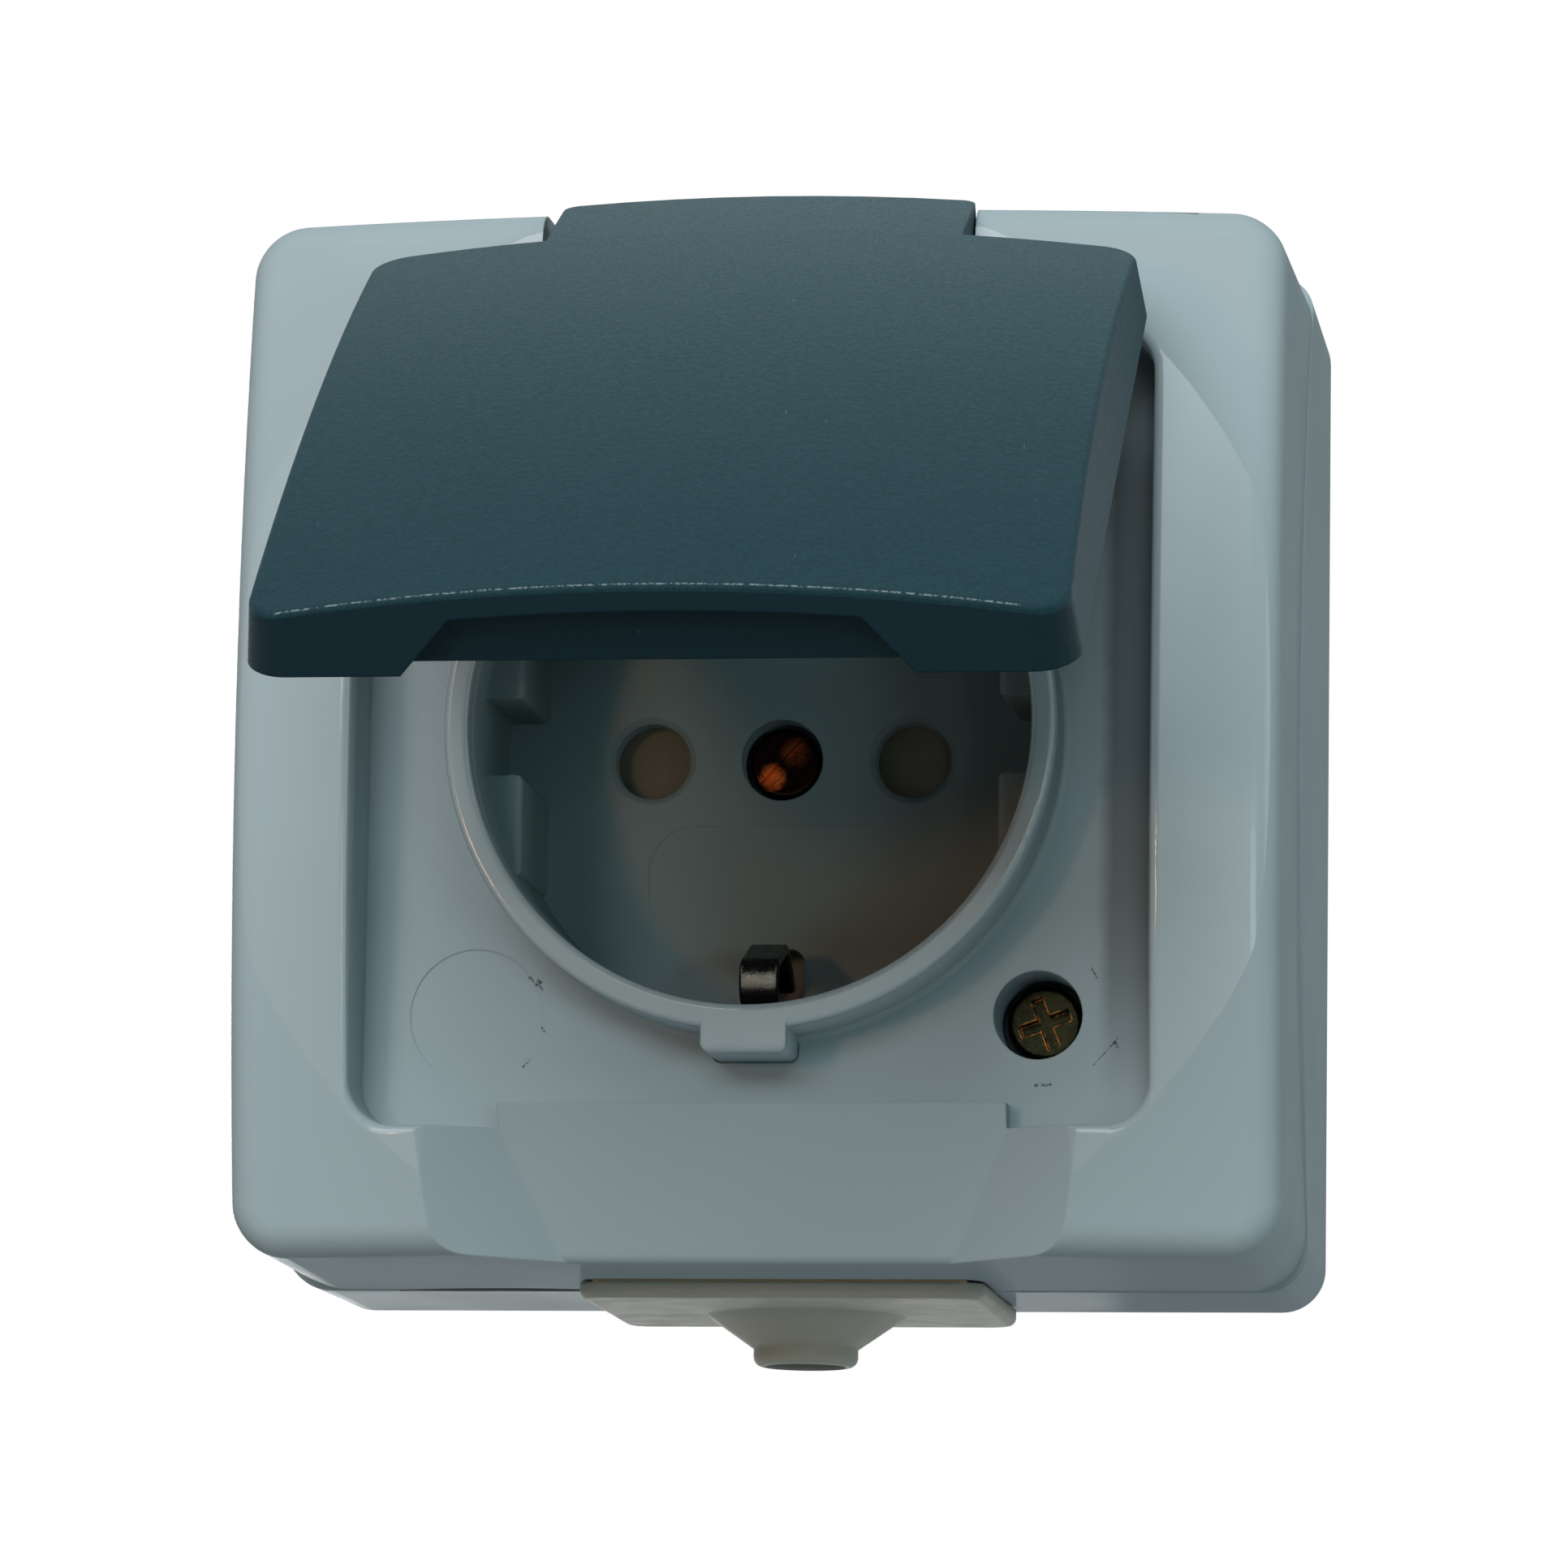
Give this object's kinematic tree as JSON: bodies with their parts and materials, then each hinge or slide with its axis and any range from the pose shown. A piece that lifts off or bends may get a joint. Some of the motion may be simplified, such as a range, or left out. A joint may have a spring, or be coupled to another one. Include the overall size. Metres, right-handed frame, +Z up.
{
  "type": "weatherproof socket outlet",
  "caption": "Square surface-mounted socket outlet with a crowned hinged lid over a round plug well with side earth clips, and a soft cable grommet below.",
  "frame": {"origin": "centre of the wall face, level with the middle of the plug well", "axes": "+Z up the wall, -Y out of the wall towards the plug, +X to the right of a person facing the socket"},
  "size_m": [0.0752, 0.0932, 0.0807],
  "materials": {
    "housing_plastic": "satin",
    "lid_plastic": "fine grain",
    "soft_seal": "matte",
    "soft_grommet": "matte",
    "carrier_plastic": "matte",
    "shutter_plastic": "matte",
    "brass": "rolled",
    "steel": "plain",
    "plated_strip": "plated",
    "yellow_screw": "yellow passivated",
    "copper_screw": "dull"
  },
  "bodies": {
    "housing": {"rear_box": "housing_plastic", "front_cover": "housing_plastic", "well_insert": "housing_plastic", "cable_grommet": "soft_grommet", "box_seal": "soft_seal", "hinge_pin": "steel", "contact_carrier": "carrier_plastic", "live_contact": "brass", "neutral_contact": "brass", "contact_springs": "steel", "earth_bracket": "plated_strip", "terminal_clamps": "steel", "terminal_screws": "yellow_screw", "carrier_screws": "steel", "shutter_spring": "steel", "centre_screw": "copper_screw", "cover_screws": "yellow_screw", "cover_screw_seals": "soft_seal"},
    "lid_body": {"lid": "lid_plastic", "lid_seal": "soft_seal"},
    "shutter_body": {"shutter": "shutter_plastic"}
  },
  "joints": [
    {"name": "lid_hinge", "type": "hinge", "parent": "housing", "child": "lid_body", "pos_m": [0, -0.0419, 0.0335], "axis": [-1, 0, 0], "range_deg": [-52.5, 47.5]},
    {"name": "shutter_turn", "type": "hinge", "parent": "housing", "child": "shutter_body", "pos_m": [0, -0.0244, 0], "axis": [0, -1, 0], "range_deg": [0, 40], "stiffness_Nm_per_rad": 0.002}
  ]
}
